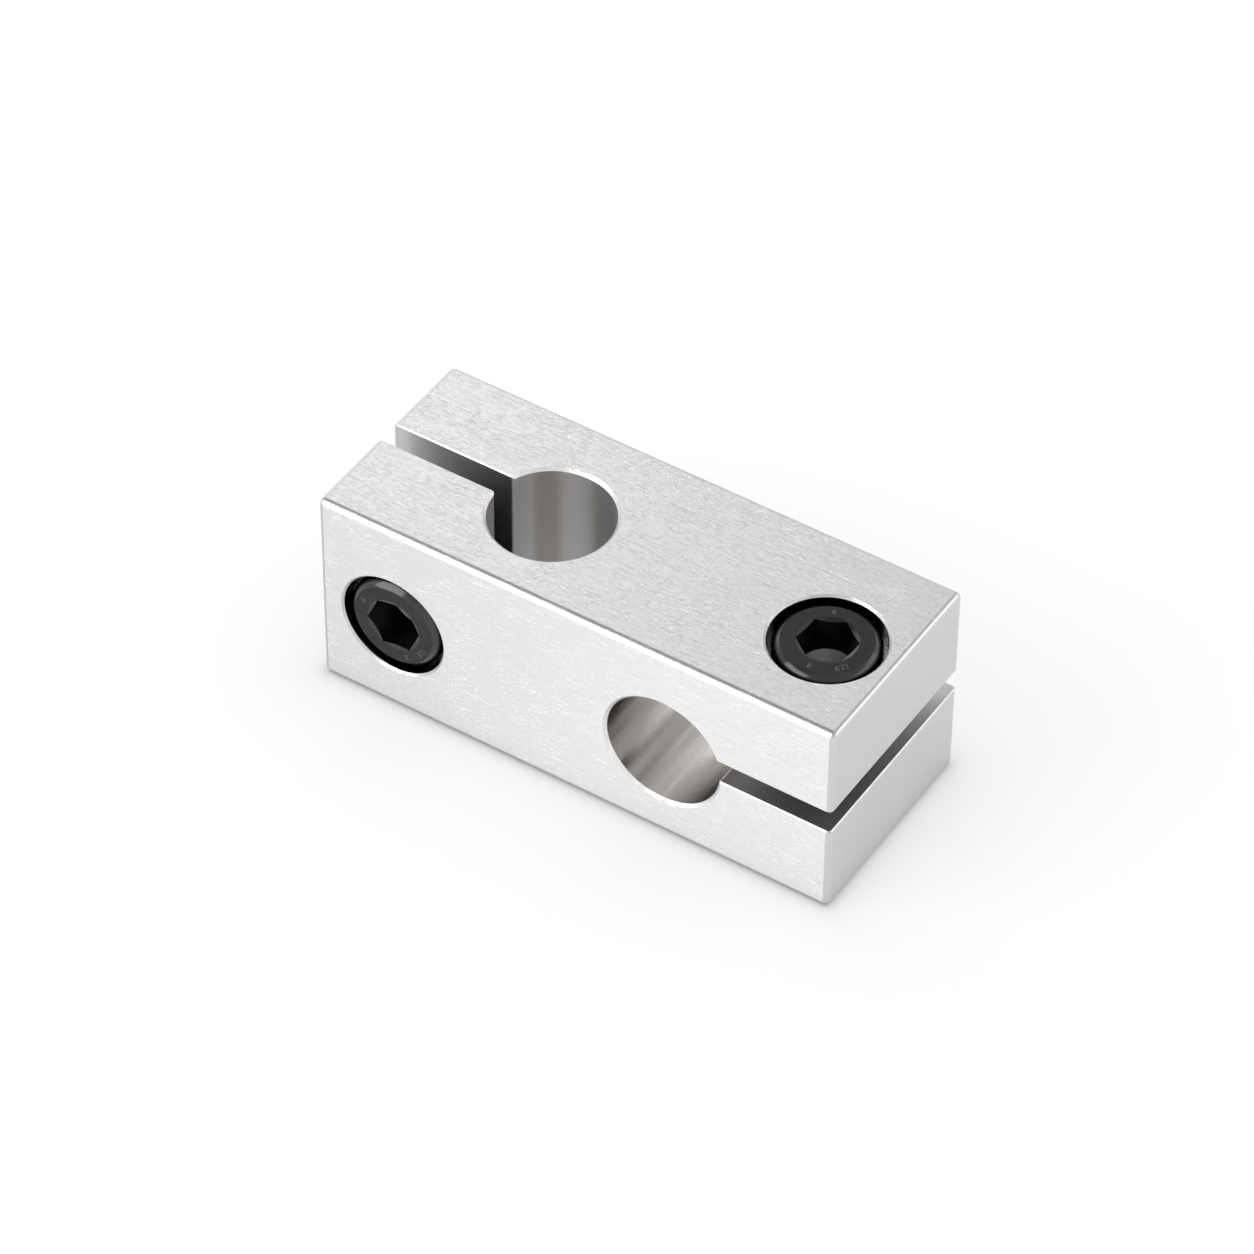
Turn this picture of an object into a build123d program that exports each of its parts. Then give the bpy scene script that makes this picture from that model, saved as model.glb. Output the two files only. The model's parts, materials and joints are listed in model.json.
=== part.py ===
from build123d import *
import os
from math import radians, tan

# Cross clamp block: holds two round rods at right angles in one square bar of aluminium.
# Each end has a bore for a rod, a slot from that bore out through the end, and a cap screw
# across the slot that draws the two jaws together on the rod.
# Sizes are in millimetres. X runs along the block, Y from the front face to the back face,
# Z up from the face it rests on. The origin is the middle of that face.

# Block
block_length = 55.0
block_width = 22.0
block_height = 22.0
corner_radius = 0.8  # along the bar, as it was drawn
end_edge_radius = 0.5  # round its two cut ends

# Bores for the rods
upright_bore_d = 12.0
cross_bore_d = 12.0
bore_rim_chamfer = 0.3

# Slots, in the bar's middle planes
slot_width = 2.4
slot_throat_radius = 0.4  # where a slot's sides run into its bore
slot_edge_break = 0.12

# Cap screws
thread_d = 6.0
head_d = 10.0
head_height = 6.0
head_edge_radius = 0.65
underhead_bevel = 0.25
socket_across_flats = 5.0
socket_depth = 3.6
socket_mouth_d = 6.0
socket_mouth_depth = 0.15
socket_drill_angle = 120.0  # the cone that the drill left in the socket's floor
tip_chamfer = 0.6
front_hex_turn = 6.0  # degrees from +X to the nearest corner of the hexagon
top_hex_turn = 25.0

# Where the holes are
upright_end_margin = 7.9  # from the left end to the axis of the screw there
cross_end_margin = 6.9  # from the right end to the axis of the screw there
screw_to_bore = 10.9
hole_offset = 0.9  # bores and screws are this much nearer the front or the bottom than the middle

# How the screws sit in the block
head_recess = 0.1  # head below the face that it is sunk in
head_clearance = 0.5  # all round the head
shank_clearance = 0.3  # all round the shank, in the near jaw
thread_play = 0.05  # all round the thread, in the far jaw
tip_setback = 1.9  # from the screw's tip to the far face
counterbore_rim_chamfer = 0.22
tapped_rim_chamfer = 0.4

counterbore_depth = head_height + head_recess
front_face_y = -block_width / 2
hole_height = block_height / 2 - hole_offset
front_screw_x = upright_end_margin - block_length / 2
top_screw_x = block_length / 2 - cross_end_margin
upright_bore_x = front_screw_x + screw_to_bore
cross_bore_x = top_screw_x - screw_to_bore

# Planes in the outer faces, with Z out of the face. A bore's X points to the end that its slot opens,
# and its Y from the bore's axis to the bar's middle plane.
upright_mouth = Plane(origin=(upright_bore_x, -hole_offset, 0), x_dir=(-1, 0, 0), z_dir=(0, 0, -1))
cross_mouth = Plane(origin=(cross_bore_x, front_face_y, hole_height), x_dir=(1, 0, 0), z_dir=(0, -1, 0))
front_seat = Plane(origin=(front_screw_x, front_face_y, hole_height), x_dir=(1, 0, 0), z_dir=(0, -1, 0))
top_seat = Plane(origin=(top_screw_x, -hole_offset, block_height), x_dir=(1, 0, 0), z_dir=(0, 0, 1))

# Mouth, bore, length of the slot and thickness that both go through
keyholes = (
    (upright_mouth, upright_bore_d, upright_end_margin + screw_to_bore, block_height),
    (cross_mouth, cross_bore_d, cross_end_margin + screw_to_bore, block_width),
)
# Node, seat, thickness that it crosses and turn of its hexagon
screws = (
    ("front_clamp_screw", front_seat, block_width, front_hex_turn),
    ("top_clamp_screw", top_seat, block_height, top_hex_turn),
)


def opposite(mouth, thickness):
    """The plane of the same hole's other mouth, in the face behind."""
    return Plane(origin=mouth.origin - mouth.z_dir * thickness, x_dir=mouth.x_dir, z_dir=-mouth.z_dir)


def section(seat):
    """The plane through a screw's axis: X across the screw, Y along it and out of its head."""
    return Plane(origin=seat.origin, x_dir=seat.x_dir, z_dir=-seat.y_dir)


def cut_cone(mouth, floor_radius, mouth_radius, depth):
    """Cuts a cone into the plane of a mouth: a rim's chamfer, a countersink or a drill's point."""
    with Locations(mouth):
        Cone(
            bottom_radius=floor_radius,
            top_radius=mouth_radius,
            height=depth,
            align=(Align.CENTER, Align.CENTER, Align.MAX),
            mode=Mode.SUBTRACT,
        )


def break_rim(mouth, radius, size):
    """Cuts a 45 degree chamfer round the mouth of a hole."""
    cut_cone(mouth, radius, radius + size, size)


os.makedirs("parts", exist_ok=True)

with BuildPart() as clamp_block:
    # A length of drawn bar, with its corners rounded, then the edges round its cut ends
    with BuildSketch(Plane.YZ.offset(-block_length / 2)):
        with Locations((0, block_height / 2)):
            RectangleRounded(block_width, block_height, corner_radius)
    extrude(amount=block_length)
    bar_ends = clamp_block.faces().filter_by(Axis.X)
    fillet(bar_ends.edges(), radius=end_edge_radius)

    # Each rod bore and its slot are one keyhole, cut right through
    for mouth, bore_d, slot_length, thickness in keyholes:
        with BuildSketch(mouth) as keyhole:
            Circle(bore_d / 2)
            with Locations((slot_length / 2, hole_offset)):
                Rectangle(slot_length, slot_width)
            fillet(keyhole.vertices().sort_by(Axis.X)[:2], radius=slot_throat_radius)
        extrude(amount=-thickness, mode=Mode.SUBTRACT)

    # Fine edge break round both slots, which runs on into the bores, then the bores' own chamfers
    upright_slot_sides = clamp_block.faces().filter_by(Axis.Y).sort_by(Axis.Y)[1:3]
    cross_slot_sides = clamp_block.faces().filter_by(Axis.Z).sort_by(Axis.Z)[1:3]
    chamfer(
        upright_slot_sides.edges().sort_by(Axis.X)[:-2] + cross_slot_sides.edges().sort_by(Axis.X)[2:],
        length=slot_edge_break,
    )
    for mouth, bore_d, _, thickness in keyholes:
        break_rim(mouth, bore_d / 2, bore_rim_chamfer)
        break_rim(opposite(mouth, thickness), bore_d / 2, bore_rim_chamfer)

    # Screw holes: counterbore and clearance hole in the near jaw, tapped hole in the far one
    for _, seat, thickness, _ in screws:
        counterbore_radius = head_d / 2 + head_clearance
        tapped_radius = thread_d / 2 + thread_play
        with Locations(seat):
            CounterBoreHole(
                radius=thread_d / 2 + shank_clearance,
                counter_bore_radius=counterbore_radius,
                counter_bore_depth=counterbore_depth,
                depth=thickness / 2,
            )
            Hole(radius=tapped_radius)
        break_rim(seat, counterbore_radius, counterbore_rim_chamfer)
        break_rim(opposite(seat, thickness), tapped_radius, tapped_rim_chamfer)

clamp_block.part.label = "clamp_block"
export_step(clamp_block.part, "parts/clamp_block.step")

# The two cap screws are alike, each in its own seat and turned as it was left when tightened
for name, seat, thickness, hex_turn in screws:
    head_top = -head_recess
    underhead = -counterbore_depth
    tip = tip_setback - thickness
    socket_mouth = seat.offset(head_top)
    socket_floor = seat.offset(head_top - socket_depth)
    drill_radius = socket_across_flats / 2
    drill_point = drill_radius / tan(radians(socket_drill_angle / 2))

    with BuildPart() as cap_screw:
        # Head and shank, turned about the screw's axis
        with BuildSketch(section(seat)) as profile:
            with BuildLine():
                Polyline(
                    (0, head_top),
                    (head_d / 2, head_top),
                    (head_d / 2, underhead),
                    (thread_d / 2, underhead),
                    (thread_d / 2, tip),
                    (0, tip),
                    close=True,
                )
            make_face()
            fillet(profile.vertices().sort_by_distance((head_d / 2, head_top))[0], head_edge_radius)
            chamfer(profile.vertices().sort_by_distance((thread_d / 2, underhead))[0], underhead_bevel)
            chamfer(profile.vertices().sort_by_distance((thread_d / 2, tip))[0], tip_chamfer)
        revolve(axis=Axis(seat.origin, seat.z_dir))

        # Hexagon socket, with its shallow countersink and its drilled floor
        with BuildSketch(socket_mouth):
            RegularPolygon(drill_radius, 6, major_radius=False, rotation=hex_turn)
        extrude(amount=-socket_depth, mode=Mode.SUBTRACT)
        cut_cone(socket_mouth, drill_radius, socket_mouth_d / 2, socket_mouth_depth)
        cut_cone(socket_floor, 0, drill_radius, drill_point)

    cap_screw.part.label = name
    export_step(cap_screw.part, f"parts/{name}.step")
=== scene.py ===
# %% [markdown]
# # Cross clamp block
# A square bar of aluminium holds two round rods at right angles. Each end has a bore, a slot
# from that bore out through the end, and a black cap screw that draws the slot closed.
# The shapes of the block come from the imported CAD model. This script gives them their finish,
# replaces the two plain screws with threaded ones, and builds the studio round them.

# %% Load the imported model
import json
from math import cos, pi, radians, sin, tan

import bpy
from mathutils import Matrix, Quaternion, Vector


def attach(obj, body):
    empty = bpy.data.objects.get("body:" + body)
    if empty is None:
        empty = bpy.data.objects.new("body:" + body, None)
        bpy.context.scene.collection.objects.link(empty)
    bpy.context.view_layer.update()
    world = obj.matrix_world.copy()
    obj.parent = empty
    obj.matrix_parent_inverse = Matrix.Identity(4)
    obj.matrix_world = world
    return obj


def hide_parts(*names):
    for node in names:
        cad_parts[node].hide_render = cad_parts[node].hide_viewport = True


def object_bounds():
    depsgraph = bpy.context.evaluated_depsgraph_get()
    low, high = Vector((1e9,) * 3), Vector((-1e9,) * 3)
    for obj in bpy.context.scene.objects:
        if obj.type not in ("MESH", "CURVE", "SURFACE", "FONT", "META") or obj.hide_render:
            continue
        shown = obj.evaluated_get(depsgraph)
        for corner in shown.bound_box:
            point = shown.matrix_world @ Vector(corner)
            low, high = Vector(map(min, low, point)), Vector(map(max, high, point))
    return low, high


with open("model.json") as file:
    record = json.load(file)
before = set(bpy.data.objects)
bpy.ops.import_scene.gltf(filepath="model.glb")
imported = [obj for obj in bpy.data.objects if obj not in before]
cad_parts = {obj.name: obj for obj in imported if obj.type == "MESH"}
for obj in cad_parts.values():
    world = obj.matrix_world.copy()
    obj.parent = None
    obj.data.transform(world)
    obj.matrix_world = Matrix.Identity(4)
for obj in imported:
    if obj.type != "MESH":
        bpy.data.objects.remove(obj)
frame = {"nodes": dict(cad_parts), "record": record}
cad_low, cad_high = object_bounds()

MM = 0.001
record = frame["record"]
block = frame["nodes"]["clamp_block"]
print("nodes:", sorted(frame["nodes"]))
print("box in mm:", [round(v / MM, 2) for v in (*cad_low, *cad_high)])

# %% [markdown]
# ## Where everything is
# The record names each rod bore and each screw's axis, so no place is measured twice.
# A bore is a point on its axis, the axis and a radius, and a screw is the point where its axis
# leaves the face that it is sunk in, with the direction out of that face.

# %% Bores and screws from the record
bores = {
    m["name"]: (Vector(m["pos_m"]), Vector(m["axis"]), m["dims"]["r_mm"] * MM)
    for m in record["mounts"]
    if m["kind"] == "clamp"
}
seats = {
    j["child"]: (Vector(j["pos_m"]), Vector(j["axis"]))
    for j in record["behaviour"]["joints"]
}
for name, (place, axis, radius) in bores.items():
    print(name, "radius in mm:", radius / MM)
for name, (place, axis) in seats.items():
    print(name, "comes out along", tuple(axis))

# %% [markdown]
# ## Camera
# The picture was taken with a long lens, from the front and to the right, looking down at
# about 45 degrees. A long lens keeps the block's far edges almost parallel to its near ones.
# The camera is placed by its two angles and its distance, then turned half a degree about its
# own view line, because the real one wasn't quite level.

# %% Camera
camera_azimuth, camera_elevation, camera_roll = radians(32.59), radians(44.51), radians(0.52)
camera_distance = 537.8 * MM
aim = Vector((-1.1, 0.0, 11.0)) * MM

toward_camera = Vector((
    sin(camera_azimuth) * cos(camera_elevation),
    -cos(camera_azimuth) * cos(camera_elevation),
    sin(camera_elevation),
))
camera_data = bpy.data.cameras.new("studio_camera")
camera_data.sensor_width = 36.0
camera_data.lens = 168.8
camera_data.clip_start, camera_data.clip_end = 0.01, 20.0
camera = bpy.data.objects.new("studio_camera", camera_data)
camera.location = aim + toward_camera * camera_distance
camera.rotation_mode = "QUATERNION"
level = toward_camera.to_track_quat("Z", "Y")
camera.rotation_quaternion = level @ Quaternion((0, 0, 1), camera_roll)
bpy.context.scene.collection.objects.link(camera)
bpy.context.scene.camera = camera
bpy.context.scene.view_settings.view_transform = "Standard"
print("camera at", [round(v / MM) for v in camera.location], "mm")

# %% [markdown]
# ## A shorter way to write shader nodes
# Every finish below is a small network of nodes. The helper adds a node, sets its values and joins
# its inputs in one line, so the network reads like a formula, in a material and in a node group.

# %% Nodes
class Nodes:
    """Adds nodes to one node tree. Inputs may be given as values or as other nodes' outputs."""

    def __init__(self, tree):
        self.tree = tree

    def node(self, kind, inputs=(), **settings):
        made = self.tree.nodes.new(kind)
        for name, value in settings.items():
            setattr(made, name, value)
        for key, value in dict(inputs).items():
            self.put(made.inputs[key], value)
        return made

    def put(self, socket, value):
        if isinstance(value, bpy.types.NodeSocket):
            self.tree.links.new(value, socket)
        else:
            socket.default_value = value

    def math(self, operation, a, b=0.0, c=0.0):
        return self.node("ShaderNodeMath", {0: a, 1: b, 2: c}, operation=operation).outputs[0]

    def product(self, first, *others):
        """Several masks or numbers multiplied."""
        for other in others:
            first = self.math("MULTIPLY", first, other)
        return first

    def highest(self, first, *others):
        """The highest of several masks or numbers."""
        for other in others:
            first = self.math("MAXIMUM", first, other)
        return first

    def vector(self, operation, a, b=(0, 0, 0)):
        made = self.node("ShaderNodeVectorMath", {0: a, 1: b}, operation=operation)
        return made.outputs["Value" if operation in ("LENGTH", "DOT_PRODUCT") else "Vector"]

    def scaled(self, a, factor):
        made = self.node("ShaderNodeVectorMath", {0: a, "Scale": factor}, operation="SCALE")
        return made.outputs["Vector"]

    def noise(self, position, scale, detail=2.0, roughness=0.5):
        made = self.node(
            "ShaderNodeTexNoise",
            {"Vector": position, "Scale": scale, "Detail": detail, "Roughness": roughness},
        )
        return made.outputs["Fac"]


print("node helper ready")

# %% [markdown]
# ### Steps and mixes
# Most finishes are made of masks, which go from 0 to 1 where a part starts, and of mixes, which
# use a mask to change one value into another. Both are added to the helper here.

# %% Network of nodes
class Network(Nodes):
    """Nodes with the masks and mixes that a finish is made of."""

    def line(self, value, start, end, low=0.0, high=1.0, step="LINEAR"):
        """A straight step from low to high while the value goes from start to end."""
        made = self.node(
            "ShaderNodeMapRange",
            {"Value": value, "From Min": start, "From Max": end, "To Min": low, "To Max": high},
            interpolation_type=step,
        )
        return made.outputs["Result"]

    def ramp(self, value, start, end, low=0.0, high=1.0):
        """A smooth step from low to high while the value goes from start to end."""
        return self.line(value, start, end, low, high, "SMOOTHSTEP")

    def band(self, value, start, full, fade, end):
        """1 while the value is between full and fade, with smooth steps from start and to end."""
        return self.product(self.ramp(value, start, full), self.ramp(value, fade, end, 1.0, 0.0))

    def mix(self, factor, a, b):
        """A number between a and b."""
        made = self.node("ShaderNodeMix", {"Factor": factor, 2: a, 3: b}, data_type="FLOAT")
        return made.outputs[0]

    def choose(self, factor, a, b):
        """A vector between a and b."""
        made = self.node("ShaderNodeMix", {"Factor": factor, 4: a, 5: b}, data_type="VECTOR")
        return made.outputs[1]

    def blend(self, factor, a, b):
        """A colour between a and b."""
        made = self.node("ShaderNodeMix", {"Factor": factor, 6: a, 7: b}, data_type="RGBA")
        return made.outputs[2]

    def painted(self, colour, layers):
        """A colour under layers. Each layer is a mask, how much it covers and a colour."""
        for mask, cover, layer_colour in layers:
            colour = self.blend(self.product(mask, cover), colour, (*layer_colour, 1))
        return colour


print("network helper ready")

# %% [markdown]
# ## Materials and shared effects
# An effect that has several uses is a node group: it is built once, and each use gives it its own
# values. Positions are in millimetres of the object's own space, so a finish stays in its place
# when the piece moves.

# %% Groups and materials
def new_group(name, inputs, outputs):
    """A shader node group. Inputs are given with their defaults, and outputs by name."""
    tree = bpy.data.node_groups.new(name, "ShaderNodeTree")
    for label, default in inputs.items():
        kind = "NodeSocketVector" if isinstance(default, tuple) else "NodeSocketFloat"
        socket = tree.interface.new_socket(label, in_out="INPUT", socket_type=kind)
        socket.default_value = default
    for label in outputs:
        tree.interface.new_socket(label, in_out="OUTPUT", socket_type="NodeSocketFloat")
    entry, end = tree.nodes.new("NodeGroupInput"), tree.nodes.new("NodeGroupOutput")
    return tree, Network(tree), entry.outputs, end.inputs


def place_group(net, tree, inputs):
    """Puts a node group in a material with its own values, and gives its outputs."""
    made = net.node("ShaderNodeGroup", node_tree=tree)
    for label, value in inputs.items():
        net.put(made.inputs[label], value)
    return made.outputs


def new_material(name):
    """A material with a Principled shader, and the object's own coordinates in millimetres."""
    material = bpy.data.materials.new(name)
    material.use_nodes = True
    net = Network(material.node_tree)
    shader = material.node_tree.nodes["Principled BSDF"]
    position = net.scaled(net.node("ShaderNodeTexCoord").outputs["Object"], 1 / MM)
    return material, net, shader, position


print("group and material helpers ready")

# %% [markdown]
# ## Effect: directional grain
# Brushing, sawing and boring all leave short fine lines in one direction. A picture of them would
# need mapping, and a wave texture gives stripes without an end. Noise that is squeezed before it
# is read fits any shape: along the lines it changes slowly and across them quickly. Real brushed
# metal is mostly even, with light and dark dashes that stand in loose clusters, so only the
# highest parts of the noise are kept. The lines run along the X of the group's position.

# %% Group: directional grain
grain_group, net, given, out = new_group(
    "directional grain",
    {"Position": (0.0, 0.0, 0.0), "Dash Length": 0.6, "Dash Width": 0.17, "Cluster Size": 2.5},
    ["Tone"],
)
dash_start, dash_full = 0.59, 0.72  # values of the noise
length, width = given["Dash Length"], given["Dash Width"]
longer = net.math("MULTIPLY", length, 3.0)


def squeezed(net, position, length, width, offset):
    """The position moved to another part of the noise, then squeezed along and across the lines."""
    along, across = net.math("DIVIDE", 1.0, length), net.math("DIVIDE", 1.0, width)
    scale = net.node("ShaderNodeCombineXYZ", {0: along, 1: across, 2: across}).outputs[0]
    move = net.node("ShaderNodeCombineXYZ", {0: offset, 1: offset, 2: offset}).outputs[0]
    return net.vector("MULTIPLY", net.vector("ADD", position, move), scale)


def streaky(length, width, offset, detail=1.0):
    """Noise drawn out along the lines. The offset gives each use its own part of it."""
    return net.noise(squeezed(net, given["Position"], length, width, offset), 1.0, detail)


def dashes(offset, longer_offset):
    """Separate short dashes with fainter long ones: 0 between them, and 1 or more on one."""
    short = net.ramp(streaky(length, width, offset), dash_start, dash_full)
    long = net.ramp(streaky(longer, width, longer_offset), dash_start, dash_full)
    return net.math("MULTIPLY_ADD", long, 0.6, short)


clusters = net.noise(given["Position"], net.math("DIVIDE", 1.0, given["Cluster Size"]))
strength = net.ramp(clusters, 0.38, 0.62, 0.35, 1.5)
even = streaky(longer, width, 11.9)
mottled = streaky(length, net.math("MULTIPLY", length, 0.6), 29.3, 2.0)
tone = net.math("MULTIPLY", net.math("SUBTRACT", dashes(3.7, 41.3), dashes(97.1, 63.9)), strength)
tone = net.math("MULTIPLY_ADD", net.math("SUBTRACT", even, 0.5), 0.3, tone)
tone = net.math("MULTIPLY_ADD", net.math("SUBTRACT", mottled, 0.5), 0.9, tone)
net.put(out["Tone"], tone)
print("group made:", grain_group.name)

# %% [markdown]
# ## Effect: hairline scratches
# Handling leaves thin scratches that wander a little. A picture of some would repeat. Smooth noise
# has a middle value all along thin curved lines, like the height lines of a map, and these are
# kept where a second noise is high. Stretched space makes them run mostly along X.

# %% Group: scratches
scratch_group, net, given, out = new_group(
    "hairline scratches",
    {
        "Position": (0.0, 0.0, 0.0), "Length": 5.0, "Spread": 1.2,
        "Thickness": 0.02, "Rarity": 0.5, "Seed": 0.0,
    },
    ["Mask"],
)
stretched = squeezed(net, given["Position"], given["Length"], given["Spread"], given["Seed"])
height = net.math("ABSOLUTE", net.math("SUBTRACT", net.noise(stretched, 1.0, 0.0), 0.5))
hairline = net.ramp(height, 0.0, given["Thickness"], 1.0, 0.0)
elsewhere = net.noise(net.vector("ADD", stretched, (31.0, 17.0, 5.0)), 2.0, 1.0)
kept = net.ramp(elsewhere, given["Rarity"], net.math("ADD", given["Rarity"], 0.08))
net.put(out["Mask"], net.product(hairline, kept))
print("group made:", scratch_group.name)

# %% [markdown]
# ## Effect: rounded edges
# The outside edges of a bar are rounded and get polished by hands, so they are smoother than its
# faces. On the surface of a box the smallest of the three depths below its faces is zero, and the
# second smallest tells how near the closest edge is. Each depth is divided by the rounding on its
# side, so the mask ends where the rounding does. This needs no baking, and it is exact.

# %% Group: rounded edges
edge_group, net, given, out = new_group(
    "rounded edges",
    {
        "Position": (0.0, 0.0, 0.0),
        "Middle": (0.0, 0.0, 0.0),
        "Half Size": (1.0, 1.0, 1.0),
        "Rounding": (0.5, 0.8, 0.8),
    },
    ["Mask"],
)
from_middle = net.vector("ABSOLUTE", net.vector("SUBTRACT", given["Position"], given["Middle"]))
below_faces = net.vector("SUBTRACT", given["Half Size"], from_middle)
depths = net.vector("DIVIDE", below_faces, given["Rounding"])
dx, dy, dz = net.node("ShaderNodeSeparateXYZ", {0: depths}).outputs
either = net.math("MINIMUM", net.highest(dx, dy), dz)
second = net.highest(net.math("MINIMUM", dx, dy), either)
net.put(out["Mask"], net.ramp(second, 0.75, 1.0, 1.0, 0.0))
print("group made:", edge_group.name)

# %% [markdown]
# ## Effect: bore wall
# A hole is cut by another tool than the bar's faces, so it has another finish. Its faces could have
# a material of their own, but a mask can fade at the rim and needs no faces picked. The group marks
# the points on a hole's wall, and tells how far beyond the wall a point is and on which side of
# the axis: 1 straight toward a given direction and -1 straight away from it.

# %% Group: bore wall
bore_group, net, given, out = new_group(
    "bore wall",
    {
        "Position": (0.0, 0.0, 0.0),
        "On Axis": (0.0, 0.0, 0.0),
        "Axis": (0.0, 0.0, 1.0),
        "Radius": 6.0,
        "Toward": (0.0, 1.0, 0.0),
    },
    ["Wall", "Side", "Beyond"],
)
offset = net.vector("SUBTRACT", given["Position"], given["On Axis"])
across = net.vector("LENGTH", net.vector("CROSS_PRODUCT", offset, given["Axis"]))
beyond = net.math("SUBTRACT", across, given["Radius"])
net.put(out["Wall"], net.ramp(beyond, 0.01, 0.04, 1.0, 0.0))
net.put(out["Beyond"], beyond)
net.put(out["Side"], net.math("DIVIDE", net.vector("DOT_PRODUCT", offset, given["Toward"]), across))
print("group made:", bore_group.name)

# %% [markdown]
# ## Finish: brushed aluminium
# The bar was drawn and brushed along its length, its ends and slots were milled, and its bores were
# reamed. One material covers it all: the masks choose between the finishes, so each starts and
# ends exactly where its tool did. Bare aluminium is a metal with a light, nearly neutral colour,
# and the difference between its finishes is mostly in roughness.

# %% Brushed aluminium: edges and ends
aluminium, net, shader, position = new_material("brushed_aluminium")
x, y, z = net.node("ShaderNodeSeparateXYZ", {0: position}).outputs
middle = (cad_low + cad_high) / 2 / MM
half_size = (cad_high - cad_low) / 2 / MM
block_top = cad_high.z / MM

corner_radius, end_edge_radius = 0.8, 0.5
worn_edge = place_group(net, edge_group, {
    "Position": position,
    "Middle": tuple(middle),
    "Half Size": tuple(half_size),
    "Rounding": (end_edge_radius, corner_radius, corner_radius),
})["Mask"]
end_edge = half_size.x - end_edge_radius
end_face = net.ramp(net.math("ABSOLUTE", x), end_edge, end_edge + 0.05)
on_top = net.ramp(z, block_top - 0.1, block_top - 0.02)
print("block in mm:", [round(v, 2) for v in half_size * 2])

# %% [markdown]
# ### Rod bores
# A reamed bore is smooth. The lighter and darker streaks along each bore's axis are painted
# reflections and painted shade, where the bores mirror their own walls and the floor. They are few
# and broad, so each is placed: it is one side of a bore's wall, with its own colour.

# %% Brushed aluminium: rod bores
def bore_wall(name, toward=(0.0, 0.0, 0.0), start=-0.2, full=-0.1):
    """1 on a bore's wall, or only on the side of it that lies toward a direction."""
    place, axis, radius = bores[name]
    found = place_group(net, bore_group, {
        "Position": position,
        "On Axis": tuple(place / MM),
        "Axis": tuple(axis),
        "Radius": radius / MM,
        "Toward": toward,
    })
    return net.product(found["Wall"], net.ramp(found["Side"], start, full))


upright_wall, cross_wall = bore_wall("upright_rod_clamp"), bore_wall("cross_rod_clamp")
in_bore = net.highest(upright_wall, cross_wall)
# Painted reflections and painted shade: each streak lightens or darkens one side of a bore.
streaks = [
    (bore_wall("upright_rod_clamp", (-0.105, 0.995, 0.0), 0.955, 0.995), (1.0, 0.995, 0.99)),
    (bore_wall("upright_rod_clamp", (-0.616, 0.788, 0.0), 0.965, 0.997), (0.60, 0.58, 0.56)),
    (bore_wall("upright_rod_clamp", (0.766, 0.643, 0.0), 0.74, 0.97), (0.70, 0.715, 0.735)),
    (bore_wall("cross_rod_clamp", (0.035, 0.0, -0.999), 0.95, 0.99), (0.83, 0.82, 0.815)),
    (bore_wall("cross_rod_clamp", (-0.545, 0.0, -0.839), 0.980, 0.997), (0.47, 0.455, 0.44)),
]
print("streaks in the bores:", len(streaks))

# %% [markdown]
# ### Slots
# A slitting saw cut them in the bar's middle planes, from each bore out through the end. A point
# lies on a slot's wall where it is half a slot from the middle plane and past the bore. The walls
# are painted a little darker than the faces, as painted shade between the jaws.

# %% Brushed aluminium: slots
half_slot = 1.2
slot_start = 5.7  # from a bore's axis, where its wall ends and the slot's walls begin
upright_x, cross_x = (place.x / MM for place, axis, radius in bores.values())


def slot_walls(across, past_bore):
    beside = net.ramp(net.math("ABSOLUTE", across), half_slot + 0.02, half_slot + 0.08, 1.0, 0.0)
    return net.product(beside, past_bore)


to_left = net.math("SUBTRACT", upright_x, x)
to_right = net.math("SUBTRACT", x, cross_x)
left_of_bore = net.ramp(to_left, slot_start - 0.1, slot_start + 0.1)
right_of_bore = net.ramp(to_right, slot_start - 0.1, slot_start + 0.1)
in_upright_slot = slot_walls(net.math("SUBTRACT", y, middle.y), left_of_bore)
in_cross_slot = slot_walls(net.math("SUBTRACT", z, middle.z), right_of_bore)
in_slot = net.highest(in_upright_slot, in_cross_slot)
print("slots are", 2 * half_slot, "mm wide")

# %% [markdown]
# ### Sizes of a cap screw
# Each is an M6 socket head cap screw, 14 mm long under its head and threaded all along. The
# holes, the finish of the head and the shape of the screw all follow these sizes. Heights
# count up from the face that the screw is sunk in.

# %% Sizes of a cap screw, in millimetres
pitch, crest_radius, root_radius = 1.0, 3.0, 2.39
screw_length, tip_bevel = 14.0, 0.6
head_radius, head_height, head_recess = 5.0, 6.0, 0.1
underhead_bevel, knurl_ridges, knurl_depth = 0.25, 48, 0.13
number_ring_radius, number_height, number_radius = 4.28, 0.04, 3.62
socket_flats, socket_depth, socket_mouth_radius, socket_mouth_depth = 5.0, 3.6, 2.91, 0.17
# The shoulder's slope in degrees, from the corner at the ring of numbers down to the side
shoulder_lean = [32 + 58 * (k / 16) ** 1.6 for k in range(17)]

head_top = -head_recess
number_ring_top = head_top - number_height
underhead = head_top - head_height
tip = underhead - screw_length
socket_floor_height = head_top - socket_depth
print("cap screw: M6 x", screw_length, "with its tip at", round(tip, 2))

# %% [markdown]
# ### Screw holes
# Each screw's hole has a smooth counterbore for its head, a chamfer round the rim, and a tapped
# hole in the far jaw. The counterbore's wall is painted dark, as painted shade round the head, and
# the rim a little darker, as painted shade that dims its highlight. They are told apart by the
# distance from the screw's axis and by the height, which is negative in the block.

# %% Brushed aluminium: screw holes
counterbore_radius, counterbore_depth, rim_chamfer = 5.5, head_height + head_recess, 0.22
tapped_mouth_radius = 3.45
far_jaw_depth = half_size.z + half_slot


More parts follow.
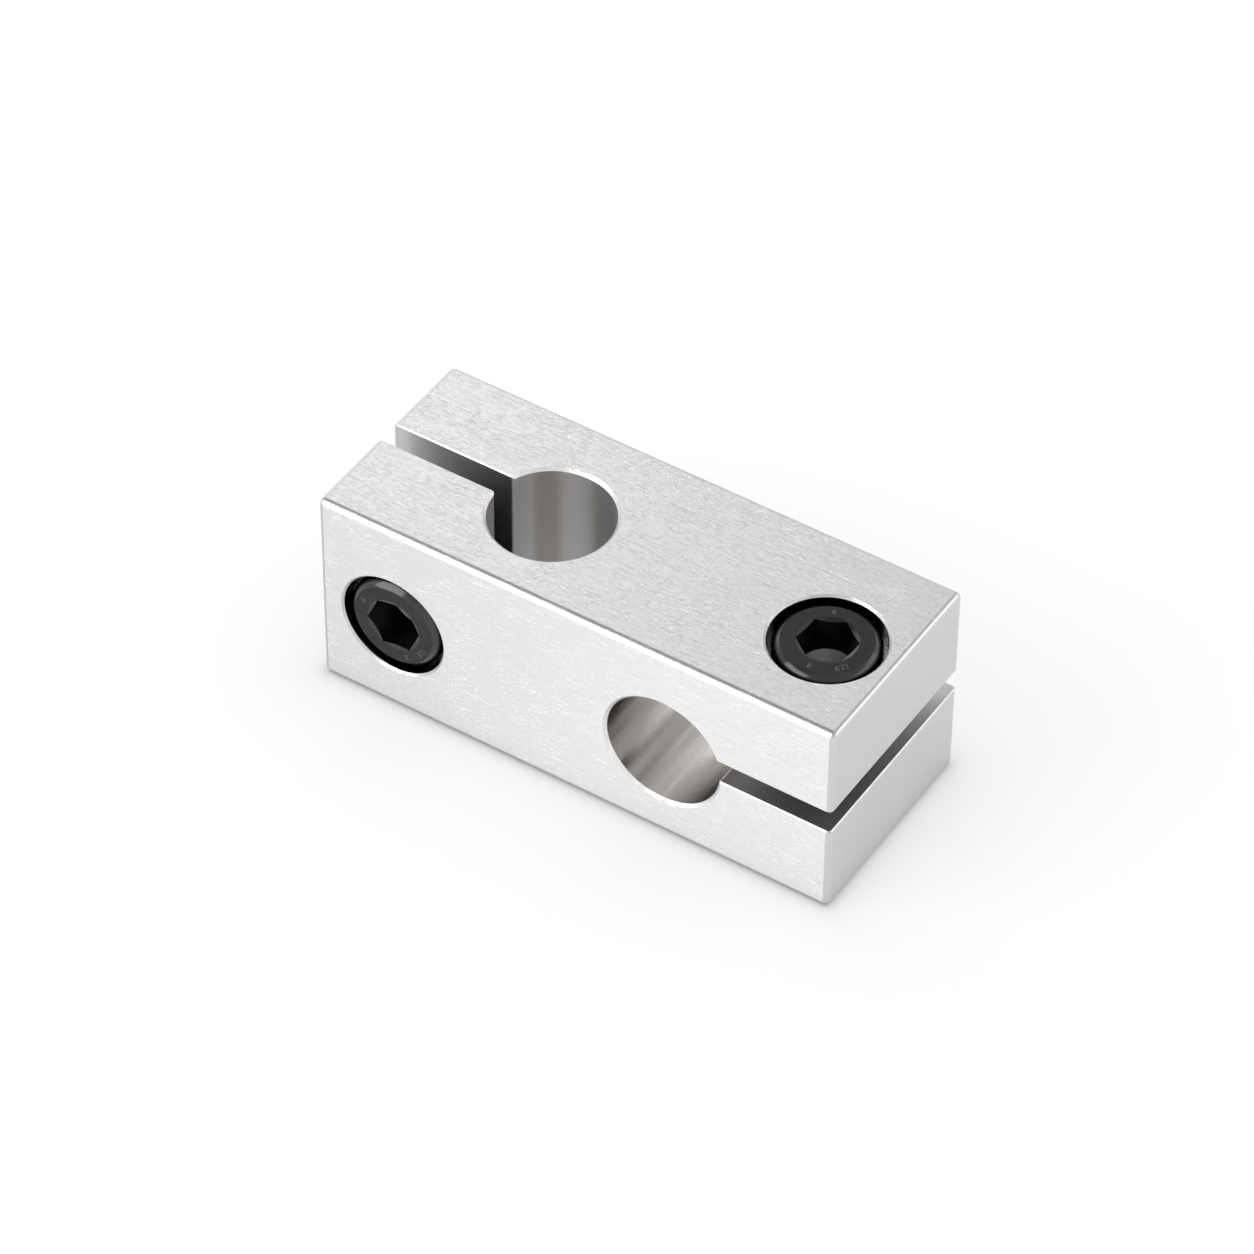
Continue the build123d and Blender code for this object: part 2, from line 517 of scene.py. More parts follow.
def round_seat(net, position, seat, radius):
    """Height above the face that a screw is sunk in, and the bore group's outputs for its axis."""
    place, axis = seat
    found = place_group(net, bore_group, {
        "Position": position,
        "On Axis": tuple(place / MM),
        "Axis": tuple(axis),
        "Radius": radius,
    })
    offset = net.vector("SUBTRACT", position, tuple(place / MM))
    return net.vector("DOT_PRODUCT", offset, tuple(axis)), found


counterbores, rims, tapped_holes = [], [], []
for seat in seats.values():
    height, found = round_seat(net, position, seat, counterbore_radius)
    beyond = found["Beyond"]
    near_jaw = net.ramp(height, -counterbore_depth - 0.2, -counterbore_depth - 0.1)
    far_jaw = net.ramp(height, -far_jaw_depth - 0.1, -far_jaw_depth, 1.0, 0.0)
    counterbores.append(net.product(found["Wall"], near_jaw))
    chamfered = net.band(beyond, 0.0, 0.04, rim_chamfer - 0.01, rim_chamfer + 0.02)
    below_face = net.ramp(height, -0.03, -0.01, 1.0, 0.0)
    rims.append(net.product(chamfered, below_face, near_jaw))
    tapped_edge = tapped_mouth_radius - counterbore_radius
    in_hole = net.ramp(beyond, tapped_edge - 0.01, tapped_edge + 0.03, 1.0, 0.0)
    tapped_holes.append(net.product(in_hole, far_jaw))
in_counterbore = net.highest(*counterbores)
counterbore_rim = net.highest(*rims)
in_tapped_hole = net.highest(*tapped_holes)
print("screw holes:", len(seats))

# %% [markdown]
# ### The lines of each finish
# The same grain serves all the finishes. Before it is read, its position is turned so that its X is
# the way that the tool went: along the bar on its faces, across the bar on its ends and along the
# axis in each bore, where the streaks are long and broad.

# %% Brushed aluminium: lines
def turned_to(first, second, third):
    return net.node("ShaderNodeCombineXYZ", {0: first, 1: second, 2: third}).outputs[0]


along = net.choose(end_face, position, turned_to(y, z, x))
along = net.choose(upright_wall, along, turned_to(z, x, y))
along = net.choose(cross_wall, along, turned_to(y, x, z))
lines = place_group(net, grain_group, {
    "Position": along,
    "Dash Length": net.mix(in_bore, 0.7, 25.0),
    "Dash Width": net.mix(in_bore, 0.085, 1.1),
    "Cluster Size": net.mix(in_bore, 2.6, 8.0),
})
tone = net.product(lines["Tone"], net.mix(end_face, 1.0, 0.7))
print("lines ready")

# %% [markdown]
# ### Scratches
# The faces have a few wandering hairlines, long straight ones and short flecks, all lighter than
# the metal round them. One use of the scratch group can't give all three, so it is placed three
# times with its own lengths. Cut surfaces have none, and the milled ends only a trace.

# %% Brushed aluminium: scratches
cut_surface = net.highest(in_slot, in_bore, in_counterbore, in_tapped_hole)
outer_face = net.math("SUBTRACT", 1.0, cut_surface)


def hairlines(length, spread, thickness, rarity, seed):
    return place_group(net, scratch_group, {
        "Position": position, "Length": length, "Spread": spread,
        "Thickness": thickness, "Rarity": rarity, "Seed": seed,
    })["Mask"]


curved = hairlines(length=4.0, spread=1.3, thickness=0.014, rarity=0.54, seed=3.0)
straight = hairlines(length=40.0, spread=0.9, thickness=0.02, rarity=0.60, seed=71.0)
flecks = hairlines(length=1.5, spread=0.5, thickness=0.035, rarity=0.60, seed=19.0)
scratched = net.highest(curved, straight, flecks)
scratched = net.product(scratched, outer_face, net.mix(end_face, 1.0, 0.15))
print("scratches ready")

# %% [markdown]
# ### The long double line
# The top face has one long line besides, from the bar being pulled along something hard. It is a
# light groove with a darker one beside it, and it fades where less weight was on it. Noise can't
# put one line in one place, so it is found by its distance from the middle of the bar.

# %% Brushed aluminium: long double line
drag_line_y, between_grooves = 6.45, 0.16
from_line = net.math("SUBTRACT", y, drag_line_y)
from_second = net.math("ADD", from_line, between_grooves)
pressed = net.ramp(net.noise(squeezed(net, position, 5.0, 40.0, 8.0), 1.0, 1.0), 0.40, 0.50)
pressed = net.product(pressed, net.ramp(z, block_top - 0.2, block_top - 0.05))
light_line = net.product(pressed, net.ramp(net.math("ABSOLUTE", from_line), 0.03, 0.10, 1.0, 0.0))
dark_line = net.product(pressed, net.ramp(net.math("ABSOLUTE", from_second), 0.02, 0.07, 1.0, 0.0))
print("line at", drag_line_y, "mm behind the middle")

# %% [markdown]
# ### Colour
# Each finish is laid over the one before it, in the order in which the bar was worked. The darker
# greys on the ends and in the slots, counterbores and rims are painted shade, and the greys and
# streaks in the bores are painted reflections and painted shade.

# %% Brushed aluminium: colour
shown_tone = net.product(tone, net.mix(on_top, 1.0, 2.1))
colour = net.blend(net.line(shown_tone, -1.5, 1.5), (0.71, 0.71, 0.71, 1), (0.95, 0.95, 0.95, 1))
colour = net.painted(colour, [
    # Painted shade: the ends are painted darker than the faces.
    (end_face, 0.75, (0.53, 0.53, 0.53)),
    # Painted light and shade in the bores: the walls' greys and the streaks.
    (upright_wall, 0.85, (0.90, 0.88, 0.86)),
    (cross_wall, 0.75, (0.645, 0.625, 0.605)),
    *[(streak, 0.85, streak_colour) for streak, streak_colour in streaks],
    # Painted shade: the slot walls are painted darker.
    (in_upright_slot, 0.8, (0.59, 0.585, 0.58)),
    (in_cross_slot, 0.8, (0.58, 0.575, 0.57)),
    # Painted shade: the counterbore's wall is painted dark.
    (in_counterbore, 0.9, (0.45, 0.45, 0.45)),
    # Painted shade: the rim is painted darker, to dim its highlight.
    (counterbore_rim, 0.8, (0.60, 0.60, 0.60)),
    (scratched, 0.5, (1, 1, 1)),
    (light_line, 1.0, (1, 1, 1)),
    (dark_line, 0.35, (0.5, 0.5, 0.5)),
])
net.put(shader.inputs["Base Color"], colour)
print("colour ready")

# %% [markdown]
# ### Roughness and relief
# Brushed faces spread the light, while rounded edges and counterbores are almost like mirrors. The
# lines and scratches are also cut into the surface. They are far too fine for faces of their own,
# so a bump tilts the shading instead, and a broad soft noise in it stands for the slight
# unevenness of drawn bar. Cut surfaces stay smooth, and so do the edges.

# %% Brushed aluminium: roughness and relief
rough = net.line(tone, -1.5, 1.5, 0.54, 0.30)
for mask, finish in (
    (end_face, 0.36),
    (worn_edge, 0.27),
    (in_bore, net.line(tone, -1.0, 1.0, 0.28, 0.12)),
    (upright_wall, 0.36),
    (in_slot, 0.32),
    (in_counterbore, 0.16),
    (counterbore_rim, 0.40),
):
    rough = net.mix(mask, rough, finish)
net.put(shader.inputs["Roughness"], rough)

uneven = net.math("MULTIPLY", net.math("SUBTRACT", net.noise(position, 2.4), 0.5), 1.2)
relief = net.math("MULTIPLY_ADD", tone, net.mix(on_top, 1.0, 1.3), uneven)
relief = net.math("SUBTRACT", relief, net.math("ADD", scratched, light_line))
relief = net.product(relief, outer_face, net.math("MULTIPLY_ADD", worn_edge, -0.85, 1.0))
bump = net.node("ShaderNodeBump", {"Strength": 1.0, "Distance": 0.013 * MM, "Height": relief})
net.put(shader.inputs["Normal"], bump.outputs["Normal"])
shader.inputs["Metallic"].default_value = 1.0
print("material made:", aluminium.name)

# %% [markdown]
# ## Finish: black oxide steel
# Black oxide is a thin skin on steel, dark and slightly blue-grey, with a soft sheen. The colour
# stays very dark, so all that is seen of the screws is their gloss. Two dark greys mixed by soft
# noise keep the skin from looking like paint.

# %% Black oxide: skin
oxide, net, shader, position = new_material("black_oxide_steel")
mottle = net.noise(position, 1.8, 3.0, 0.6)
speckle = net.noise(position, 14.0)
skin = net.blend(net.line(mottle, 0.3, 0.7), (0.037, 0.038, 0.040, 1), (0.052, 0.053, 0.056, 1))
print("skin ready")

# %% [markdown]
# ### Rubbed and painted parts
# The shoulder of each head, its numbers and the mouth of its socket are rubbed by fingers and keys.
# The shoulder is also painted darker, as a painted dark reflection, and the floor of the socket is
# painted lighter, as a painted highlight on the drill's cone. Each part is found by its distance
# from the screw's axis and its height above the face that the screw is sunk in.

# %% Black oxide: rubbed parts
shoulders, floors, mouths, numbers = [], [], [], []
for seat in seats.values():
    height, found = round_seat(net, position, seat, number_ring_radius)
    beyond = found["Beyond"]
    near_axis = net.ramp(beyond, 1.0, 2.0, 1.0, 0.0)
    raised = net.ramp(height, number_ring_top + 0.005, number_ring_top + 0.02)
    numbers.append(net.product(raised, near_axis))
    past_ring = net.band(beyond, 0.0, 0.05, 1.0, 2.0)
    shoulders.append(net.product(past_ring, net.ramp(height, -1.3, -0.9)))
    mouth_edge = socket_mouth_radius - number_ring_radius + 0.04
    in_mouth = net.ramp(beyond, mouth_edge, mouth_edge + 0.03, 1.0, 0.0)
    sloping = net.band(height, -0.42, -0.38, number_ring_top - 0.03, number_ring_top - 0.01)
    mouths.append(net.product(in_mouth, sloping))
    socket_edge = socket_flats / 2 - number_ring_radius + 0.03
    in_socket = net.ramp(beyond, socket_edge, socket_edge + 0.1, 1.0, 0.0)
    drilled = net.band(height, -5.6, -5.5, socket_floor_height - 0.05, socket_floor_height + 0.05)
    floors.append(net.product(in_socket, drilled))
shoulder, number = net.highest(*shoulders), net.highest(*numbers)
socket_mouth, socket_floor = net.highest(*mouths), net.highest(*floors)
print("rubbed parts found on", len(seats), "screws")

# %% [markdown]
# ### Colour and gloss
# The rubbed shoulder is polished, and its film of oil mirrors the lamps. A lighter metal would
# mirror them too, but it would turn the whole shoulder grey. A clear coat over the dark metal adds
# the bright line alone. The shoulder's metal is painted darker than the skin, as a painted dark
# reflection of the room.

# %% Black oxide: colour and gloss
colour = net.painted(skin, [
    # Painted dark reflection: the shoulder is painted darker than the skin.
    (shoulder, 0.8, (0.018, 0.018, 0.019)),
    (number, 0.8, (0.12, 0.12, 0.122)),
    # Painted highlight: the socket's floor is painted lighter, for its lit cone.
    (socket_floor, 0.8, (0.20, 0.20, 0.20)),
    (socket_mouth, 0.8, (0.085, 0.085, 0.087)),
])
net.put(shader.inputs["Base Color"], colour)
rough = net.line(mottle, 0.3, 0.7, 0.28, 0.38)
rough = net.mix(socket_mouth, net.mix(shoulder, rough, 0.17), 0.20)
net.put(shader.inputs["Roughness"], rough)
net.put(shader.inputs["Coat Weight"], net.product(shoulder, 0.65))
shader.inputs["Coat Roughness"].default_value = 0.14
shader.inputs["Coat IOR"].default_value = 1.7
bump = net.node("ShaderNodeBump", {"Strength": 0.5, "Distance": 0.004 * MM, "Height": speckle})
net.put(shader.inputs["Normal"], bump.outputs["Normal"])
shader.inputs["Metallic"].default_value = 1.0
print("material made:", oxide.name)

# %% [markdown]
# ## The block
# The block's solid is right as it is, with its rounded edges, chamfers and bores, so it stays and
# gets its finish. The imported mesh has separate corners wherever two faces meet. Welding joins
# them, splitting at angles over 30 degrees keeps the real edges sharp, and weighted normals let the
# large flat faces decide the shading, so the small rounded edges catch the light as a smooth line.

# %% Dress the block
def crisp_shading(piece, weld=False):
    if weld:
        piece.modifiers.new("join corners", "WELD").merge_threshold = 0.0002 * MM
    split = piece.modifiers.new("sharp edges", "EDGE_SPLIT")
    split.split_angle, split.use_edge_sharp = radians(30), False
    weighted = piece.modifiers.new("flat faces first", "WEIGHTED_NORMAL")
    weighted.mode, weighted.weight = "FACE_AREA", 100


block.data.materials.clear()
block.data.materials.append(aluminium)
for face in block.data.polygons:
    face.use_smooth = True
crisp_shading(block, weld=True)
print("block:", len(block.data.polygons), "triangles")

# %% [markdown]
# ## The cap screws
# The head is knurled, with a hexagon socket, and the shank is threaded. Blender can turn a profile
# with its Screw modifier and cut the socket with a Boolean, but the thread, the knurl and the
# hexagon would then meet in messy faces. Here a screw is one closed skin, made of rings of points
# round its axis. The hexagon only changes how far a ring's points are from the axis, the knurl
# does the same on the side of the head, and so does the thread on the shank.
#
# ### Rings of points
# A ring has a radius and a height, and each may be a number or change with the angle. The angles
# start at a corner of the hexagon. There are six points to a ridge of the knurl, and 48 to a side
# of the hexagon, so both come out sharp.

# %% Rings
round_steps = 288
angles = [2 * pi * k / round_steps for k in range(round_steps)]


def ring(radius, height):
    """One ring of (radius, height)."""
    return [
        (radius(a) if callable(radius) else radius, height(a) if callable(height) else height)
        for a in angles
    ]


def hexagon(angle):
    """Distance from the axis to the hexagon, at an angle from one of its corners."""
    return socket_flats / 2 / cos((angle % radians(60)) - radians(30))


print("points in a ring:", round_steps)

# %% [markdown]
# ### Thread
# A 60 degree thread rises by one pitch in a turn. It fades out under the head, where the die
# couldn't reach, and its first turn is cut away by the bevel of the tip.

# %% Rings of the threaded shank
thread_end, thread_fade, bare_shank = underhead - 1.0, 0.8, 0.28


def thread_profile(u):
    """Radius of the thread where u is the place along one pitch, with its crest at 0."""
    u = abs((u + 0.5) % 1.0 - 0.5)
    return max(root_radius, min(crest_radius, crest_radius - (u - pitch / 16) * 3 ** 0.5))


def smooth(t):
    t = max(0.0, min(1.0, t))
    return t * t * (3 - 2 * t)


def shank_rings(hex_turn, rows_per_turn=14, faded_radius=2.75):
    """Rings from the tip up the thread to the underside of the head."""
    def threaded(height):
        full = smooth((thread_end - height) / thread_fade)

        def radius(a):
            cut = thread_profile(height / pitch - (a + hex_turn) / (2 * pi))
            cut = cut + (faded_radius - cut) * (1 - full)
            return min(cut, crest_radius - tip_bevel + (height - tip))
        return radius

    rows = int(screw_length / pitch * rows_per_turn)
    heights = [tip + (screw_length - bare_shank) * k / (rows - 1) for k in range(rows)]
    return [
        ring(crest_radius - tip_bevel - 0.3, tip),  # on the flat of the tip
        *[ring(threaded(height), height) for height in heights],
        ring(crest_radius, underhead),
    ]


print("rings in a shank:", len(shank_rings(0.0)))

# %% [markdown]
# ### Head and socket
# The rings go on round the underside of the head, up its knurled side, over the shoulder to the
# ring of numbers, and down into the socket, to the cone that the drill left.

# %% Rings of the head
def head_rings():
    """Rings from the underside of the head to the edge of the ring of numbers."""
    def knurled(a):
        groove = abs((a * knurl_ridges / (2 * pi)) % 1.0 - 0.5) * 2
        return head_radius - knurl_depth * groove

    leans = [radians((a + b) / 2) for a, b in zip(shoulder_lean, shoulder_lean[1:])]
    step = (head_radius - number_ring_radius) / sum(cos(a) for a in leans)
    shoulder_line = [(number_ring_radius, number_ring_top)]
    for a in leans:
        radius, height = shoulder_line[-1]
        shoulder_line.append((radius + step * cos(a), height - step * sin(a)))
    side_top = shoulder_line[-1][1]
    plain_radius = head_radius - 0.05  # below the knurl
    knurl_start, knurl_end = underhead + 0.62, side_top - 0.3
    return [
        ring(head_radius - 0.45, underhead),
        ring(plain_radius - underhead_bevel, underhead),
        ring(plain_radius, underhead + underhead_bevel),
        ring(head_radius - 0.03, underhead + 0.42),
        ring(knurled, knurl_start),
        ring(knurled, underhead + 2.5),
        ring(knurled, knurl_end),
        ring(head_radius, side_top - 0.05),
        *[ring(radius, height) for radius, height in reversed(shoulder_line)],
    ]


def socket_rings(drill_point_radius=0.15):
    """Rings from the ring of numbers down into the socket."""
    def mouth(a):
        slope = socket_mouth_depth / (socket_mouth_radius - socket_flats / 2)
        return number_ring_top - slope * (socket_mouth_radius - hexagon(a))

    cone_height = (socket_flats / 2 - drill_point_radius) / tan(radians(60))
    return [
        ring(number_ring_radius - 0.04, number_ring_top),
        ring(socket_mouth_radius + 0.04, number_ring_top),
        ring(socket_mouth_radius, number_ring_top),
        ring(hexagon, mouth),
        ring(hexagon, lambda a: mouth(a) - 0.04),
        ring(hexagon, socket_floor_height + 0.02),
        ring(hexagon, socket_floor_height),
        ring(socket_flats / 2 - 0.001, socket_floor_height),
        ring(drill_point_radius, socket_floor_height - cone_height),
    ]


print("rings in a head:", len(head_rings()), "and in a socket:", len(socket_rings()))

# %% [markdown]
# ### From rings to a piece
# Points are first placed round the screw's own axis, where Z points out of the face. A matrix then
# takes them to the screw's seat in the block.

# %% Points and meshes
def ring_points(rings, turn):
    """The points of rings of (radius, height), turned about their axis."""
    n = len(rings[0])
    return [
        Vector((r * cos(2 * pi * j / n + turn), r * sin(2 * pi * j / n + turn), z))
        for row in rings
        for j, (r, z) in enumerate(row)
    ]


def new_piece(name, seat, points, faces, material):
    """A piece from points in a seat's own millimetres."""
    place, axis = seats[seat]
    side = Vector((1, 0, 0))
    to_seat = Matrix((side, axis.cross(side), axis)).transposed()
    mesh = bpy.data.meshes.new(name)
    mesh.from_pydata([place + to_seat @ p * MM for p in points], [], faces)
    mesh.polygons.foreach_set("use_smooth", [True] * len(mesh.polygons))
    mesh.materials.append(material)
    piece = bpy.data.objects.new(name, mesh)
    bpy.context.scene.collection.objects.link(piece)
    crisp_shading(piece)
    print(name, len(mesh.polygons), "faces")
    return piece


print("piece helpers ready")

# %% [markdown]
# ### Numbers on the head
# A cap screw has its strength class pressed into the ring round its socket. Plain numbers are made
# as text, turned into a mesh and laid on the ring, a few hundredths of a millimetre high. A bump
# would be flat from the side, and real edges catch the light. The numbers belong to the screw,
# so they are joined to its mesh.

# %% Numbers
def number_points(text, size, angle):
    """Points and faces of a number that stands on the head's ring, at an angle round the axis."""
    curve = bpy.data.curves.new("number", "FONT")
    curve.body, curve.size, curve.align_x, curve.align_y = text, size, "CENTER", "CENTER"
    curve.bevel_depth, curve.bevel_resolution = number_height, 0
    carrier = bpy.data.objects.new("number", curve)
    bpy.context.scene.collection.objects.link(carrier)
    mesh = bpy.data.meshes.new_from_object(carrier)
    turn = Matrix.Rotation(radians(angle) - pi / 2, 4, "Z")
    to_ring = turn @ Matrix.Translation((0, number_radius, number_ring_top))
    points = [to_ring @ v.co for v in mesh.vertices]
    faces = [tuple(p.vertices) for p in mesh.polygons]
    bpy.data.objects.remove(carrier)
    bpy.data.curves.remove(curve)
    bpy.data.meshes.remove(mesh)
    return points, faces


print("number helper ready")

# %% [markdown]
# ### Both screws
# Neighbouring rings are joined by four-sided faces, and fans of triangles close the tip and the
# drill's point. The screws differ only in how their hexagons are turned and in where their
# numbers are.

# %% Build the screws
def build_screw(node, body, hex_turn, numbers):
    """A screw in its seat. Each of its numbers is a text, a size and an angle in degrees."""
    rings = [*shank_rings(hex_turn), *head_rings(), *socket_rings()]
    points = ring_points(rings, hex_turn)
    n = round_steps
    faces = [
        (i * n + j, i * n + (j + 1) % n, (i + 1) * n + (j + 1) % n, (i + 1) * n + j)
        for i in range(len(rings) - 1)
        for j in range(n)
    ]
    first, last, base = len(points), len(points) + 1, len(points) - n
    drill_point = rings[-1][0][1] - 0.08
    points += [Vector((0, 0, tip)), Vector((0, 0, drill_point))]
    faces += [(first, (j + 1) % n, j) for j in range(n)]
    faces += [(last, base + j, base + (j + 1) % n) for j in range(n)]
    for number in numbers:
        more_points, more_faces = number_points(*number)
        faces += [tuple(i + len(points) for i in face) for face in more_faces]
        points += more_points
    screw = new_piece(node + "_detailed", body, points, faces, oxide)
    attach(screw, body)
    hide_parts(node)


front_hex_turn, top_hex_turn = radians(6), radians(25)
build_screw(
    "front_clamp_screw", "front_screw", front_hex_turn,
    [("12.9", 0.8, -30), ("8", 0.7, -67), ("6", 0.8, 155)],
)
build_screw(
    "top_clamp_screw", "top_screw", top_hex_turn,
    [("12.9", 0.8, -38), ("8", 0.7, -85), ("6", 0.8, 112)],
)

# %% [markdown]
# ## Thread turns in the far jaws
# The far jaw of each slot is tapped. The screw's tip stops a little inside, so its last turns of
# thread show from the back and from below. The CAD keeps these holes plain, and the turns beyond
# the tip are a closed ring that sits in the wall of the hole. It stops at the tip, so the turning
# screw never meets it.

# %% Tapped turns
valley_radius, buried_radius, ridge_height = 3.06, 3.2, 0.54
flank_start, flank_width = 0.12, 0.3  # from the middle of a valley, as shares of the pitch
tip_gap, tapped_rim_chamfer = 0.05, 0.4


def tapped_rings(thickness, hex_turn, n=144, rows=24):
    """Rings of (radius, height) from the screw's tip outwards, and back inside the hole's wall."""
    inner, outer = tip - tip_gap, tapped_rim_chamfer - thickness
    rings = []
    for k in range(rows + 1):
        height = inner + (outer - inner) * k / rows
        run_out = 0.0 if k in (0, rows) else 2.2 * min(height - outer, inner - height + 0.4)
        row = []
        for j in range(n):
            u = (height / pitch - (2 * pi * j / n + hex_turn) / (2 * pi) + 0.5) % 1.0 - 0.5
            ridge = ridge_height * max(0.0, min(1.0, (abs(u) - flank_start) / flank_width))
            row.append((valley_radius - min(ridge, max(0.0, run_out)), height))
        rings.append(row)
    return rings + [[(buried_radius, outer)] * n, [(buried_radius, inner)] * n]


def build_tapped_turns(name, seat, thickness, hex_turn):
    """The turns that show beyond a screw's tip, in a jaw of the block."""
    rings = tapped_rings(thickness, hex_turn)
    count, n = len(rings), len(rings[0])
    faces = [
        (
            i * n + j,
            (i + 1) % count * n + j,
            (i + 1) % count * n + (j + 1) % n,
            i * n + (j + 1) % n,
        )
        for i in range(count)
        for j in range(n)
    ]
    turns = new_piece(name, seat, ring_points(rings, hex_turn), faces, aluminium)
    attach(turns, "block")


build_tapped_turns("tapped_turns_back", "front_screw", 2 * half_size.y, front_hex_turn)
build_tapped_turns("tapped_turns_below", "top_screw", 2 * half_size.z, top_hex_turn)

# %% [markdown]
# ## Studio floor
# The block stands on white paper. A plane is enough for it, because the world behind is just as
# white and hides the horizon. It lies a hair below the block, so that the two don't flicker.

# %% Floor
floor_mesh = bpy.data.meshes.new("studio_floor")
reach = 4.0
corners = [(-reach, -reach, 0), (reach, -reach, 0), (reach, reach, 0), (-reach, reach, 0)]
floor_mesh.from_pydata(corners, [], [(0, 1, 2, 3)])
floor = bpy.data.objects.new("studio_floor", floor_mesh)
floor.location.z = -0.02 * MM
bpy.context.scene.collection.objects.link(floor)
print("floor is", 2 * reach, "m wide")

# %% [markdown]
# ### White paper near the block
# The picture shows the paper almost without shade, so most of its light is its own. That light
# fades close to the block, where real paper gets none: first slowly over some centimetres and
# then quickly in the last millimetre. Some comes back under the upright bore, which is open to
# the light from above.

# %% Paper: light near the block
paper = bpy.data.materials.new("white_paper")
paper.use_nodes = True
paper.cycles.emission_sampling = "NONE"
paper.node_tree.nodes.clear()
net = Network(paper.node_tree)
spot = net.scaled(net.node("ShaderNodeTexCoord").outputs["Object"], 1 / MM)
flat_spot = net.vector("MULTIPLY", spot, (1, 1, 0))

foot_inset, wide_fade, narrow_fade = 0.6, 4.0, 0.5
foot = (half_size.x - foot_inset, half_size.y - foot_inset, 0)
past = net.vector("SUBTRACT", net.vector("ABSOLUTE", flat_spot), foot)
outside = net.vector("LENGTH", net.vector("MAXIMUM", past, (0, 0, 0)))
squared = net.math("MULTIPLY", outside, outside)
wide = net.product(net.math("DIVIDE", outside, net.math("ADD", outside, wide_fade)), 0.2)
narrow = net.product(net.math("DIVIDE", squared, net.math("ADD", squared, narrow_fade ** 2)), 0.8)

upright_place, _, upright_radius = bores["upright_rod_clamp"]
bore_foot = (upright_place.x / MM, upright_place.y / MM, 0)
from_bore = net.vector("LENGTH", net.vector("SUBTRACT", flat_spot, bore_foot))
bore_edge = upright_radius / MM
daylight = net.ramp(from_bore, bore_edge - 0.5, bore_edge, 0.47, 0.0)
near_block = net.highest(net.math("ADD", wide, narrow), daylight)
print("light under the upright bore reaches", bore_edge, "mm from its axis")

# %% [markdown]
# ### What each kind of ray sees
# To the camera and to mirror-like surfaces the paper is mostly its own white light and only a
# little lit by the lamps, so it is white with a faint shadow. Mirrored in the block, it is a little
# darker on the left, as the room was. To the soft light that bounces about it is plain white paper.

# %% Paper: material
def seen_ray(net):
    """1 for camera rays and for reflected and refracted ones, 0 for soft bounced light."""
    path = net.node("ShaderNodeLightPath").outputs
    return net.highest(path["Is Camera Ray"], path["Is Glossy Ray"], path["Is Transmission Ray"])


bounce = net.node("ShaderNodeBsdfDiffuse", {"Color": (0.8, 0.8, 0.8, 1)}).outputs[0]
shade = net.node("ShaderNodeBsdfDiffuse", {"Color": (0.33, 0.33, 0.33, 1)}).outputs[0]
along_floor = net.node("ShaderNodeSeparateXYZ", {0: spot}).outputs[0]
mirrored = net.node("ShaderNodeLightPath").outputs["Is Glossy Ray"]
room_side = net.mix(mirrored, 1.0, net.line(along_floor, -35.0, 0.0, 0.80, 1.04))
strength = net.product(near_block, 0.73, room_side)
glow = net.node("ShaderNodeEmission", {"Color": (1, 1, 1, 1), "Strength": strength}).outputs[0]
shown = net.node("ShaderNodeAddShader", {0: shade, 1: glow}).outputs[0]
surface = net.node("ShaderNodeMixShader", {0: seen_ray(net), 1: bounce, 2: shown}).outputs[0]
net.node("ShaderNodeOutputMaterial", {"Surface": surface})
floor_mesh.materials.append(paper)
print("material made:", paper.name)

# %% [markdown]
# ## Studio light
# The room is a plain white dome, greyer overhead. Two gaps between its panels are darker: the
# one overhead draws the thin dark line along the top front edge, and the one low at the back
# draws the line along the top back edge. A dot product tells how near a direction is to the
# middle of a gap, so the room needs no picture and no walls.

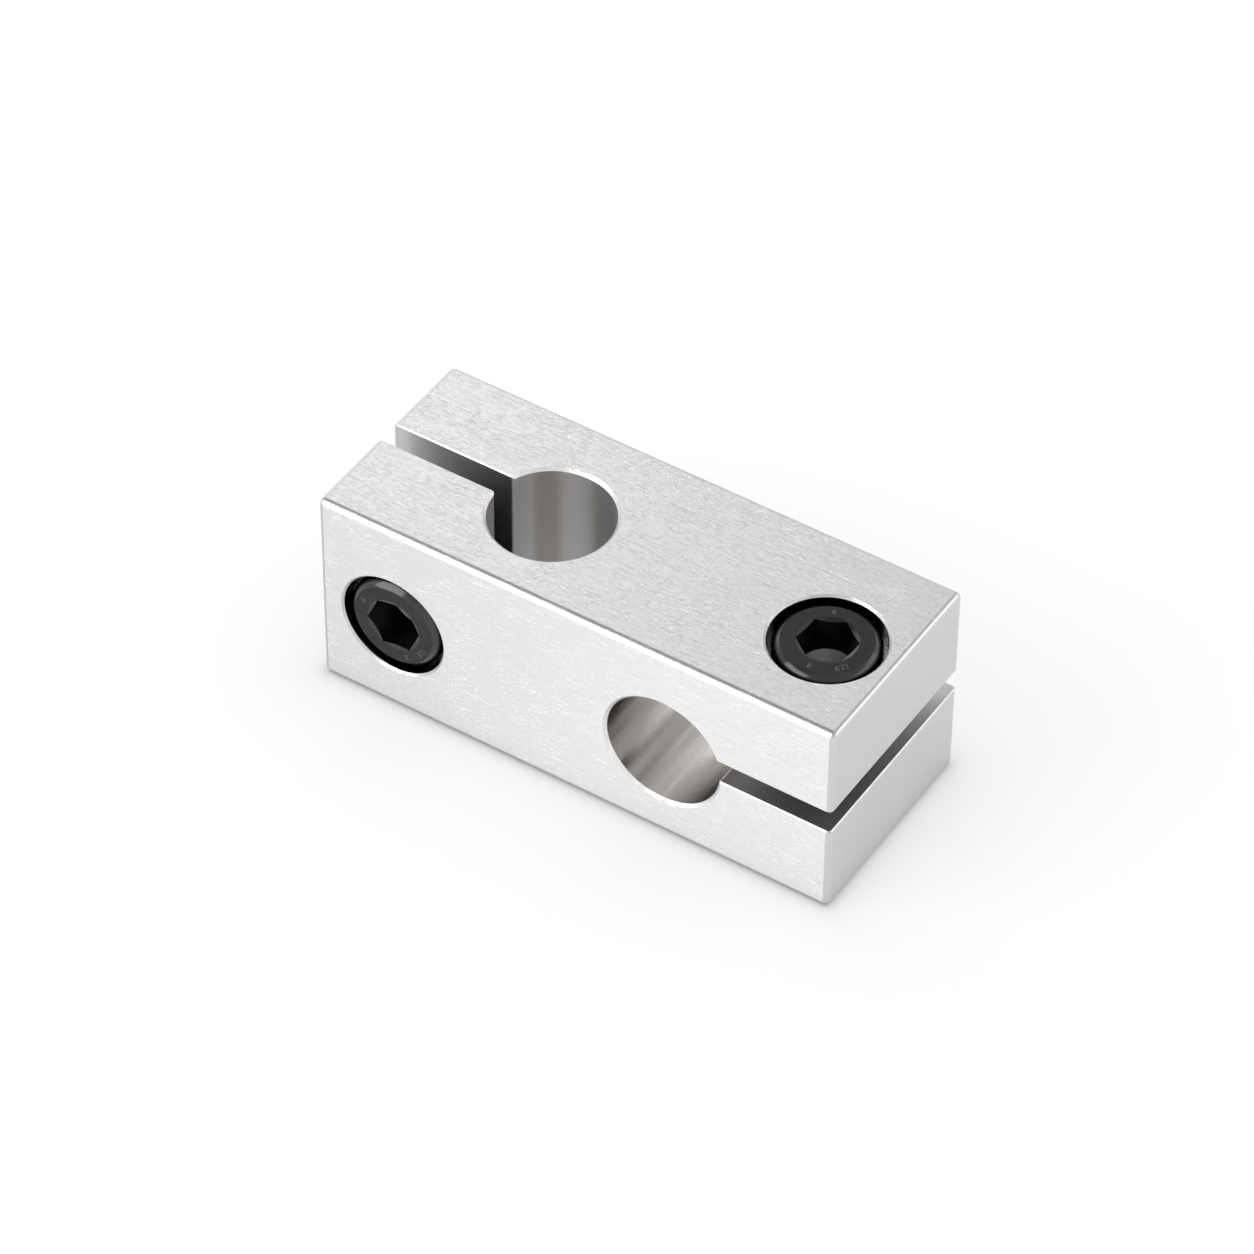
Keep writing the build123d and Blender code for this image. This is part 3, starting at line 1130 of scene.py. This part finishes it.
# %% Dome
world = bpy.data.worlds.new("studio")
bpy.context.scene.world = world
world.use_nodes = True
world.cycles.sampling_method = "NONE"
world.node_tree.nodes.clear()
net = Network(world.node_tree)
direction = net.node("ShaderNodeTexCoord").outputs["Generated"]
upward = net.node("ShaderNodeSeparateXYZ", {0: direction}).outputs[2]
overhead_gap = net.vector("DOT_PRODUCT", direction, (-0.384, 0.0, 0.923))
low_gap = net.vector("DOT_PRODUCT", direction, (-0.384, 0.915, 0.12))
dome = net.painted((1.0, 1.0, 1.0, 1), [
    (net.ramp(upward, 0.2, 0.7), 1.0, (0.69, 0.69, 0.695)),
    (net.ramp(overhead_gap, 0.82, 0.95), 1.0, (0.27, 0.27, 0.275)),
    (net.ramp(low_gap, 0.92, 0.985), 1.0, (0.5, 0.5, 0.505)),
])
path = net.node("ShaderNodeLightPath").outputs
seen = net.highest(path["Is Camera Ray"], path["Is Transmission Ray"])
white = net.node("ShaderNodeBackground", {"Color": (1, 1, 1, 1), "Strength": 1.0}).outputs[0]
soft = net.node("ShaderNodeBackground", {"Color": dome, "Strength": 1.0}).outputs[0]
mixed = net.node("ShaderNodeMixShader", {0: seen, 1: soft, 2: white}).outputs[0]
net.node("ShaderNodeOutputWorld", {"Surface": mixed})
print("world made")

# %% [markdown]
# ### Soft panels
# The panel close by on the left makes the top face fade from its left end to its right end. The one
# at the front left gives the rounded front edge its bright line, and the one at the right does
# the same for the right end.

# %% Panels
def softbox(name, place, toward, width, height, brightness):
    """A rectangular lamp. Brightness 1 is as bright as white paper in full light."""
    data = bpy.data.lights.new(name, "AREA")
    data.shape, data.size, data.size_y = "RECTANGLE", width, height
    data.energy = brightness * pi * width * height
    lamp = bpy.data.objects.new(name, data)
    lamp.location = place
    lamp.rotation_mode = "QUATERNION"
    lamp.rotation_quaternion = (Vector(place) - Vector(toward)).to_track_quat("Z", "Y")
    bpy.context.scene.collection.objects.link(lamp)
    print(name, round(data.energy, 3), "W")


softbox("left_panel", (-0.123, 0.09, 0.127), (0, 0, 0.022), 0.15, 0.15, 0.56)
softbox("front_panel", (-0.275, -0.397, 0.265), (0, 0, 0.01), 0.44, 0.45, 2.4)
softbox("right_panel", (0.40, 0.23, 0.20), (0, 0, 0.01), 0.50, 0.32, 0.85)
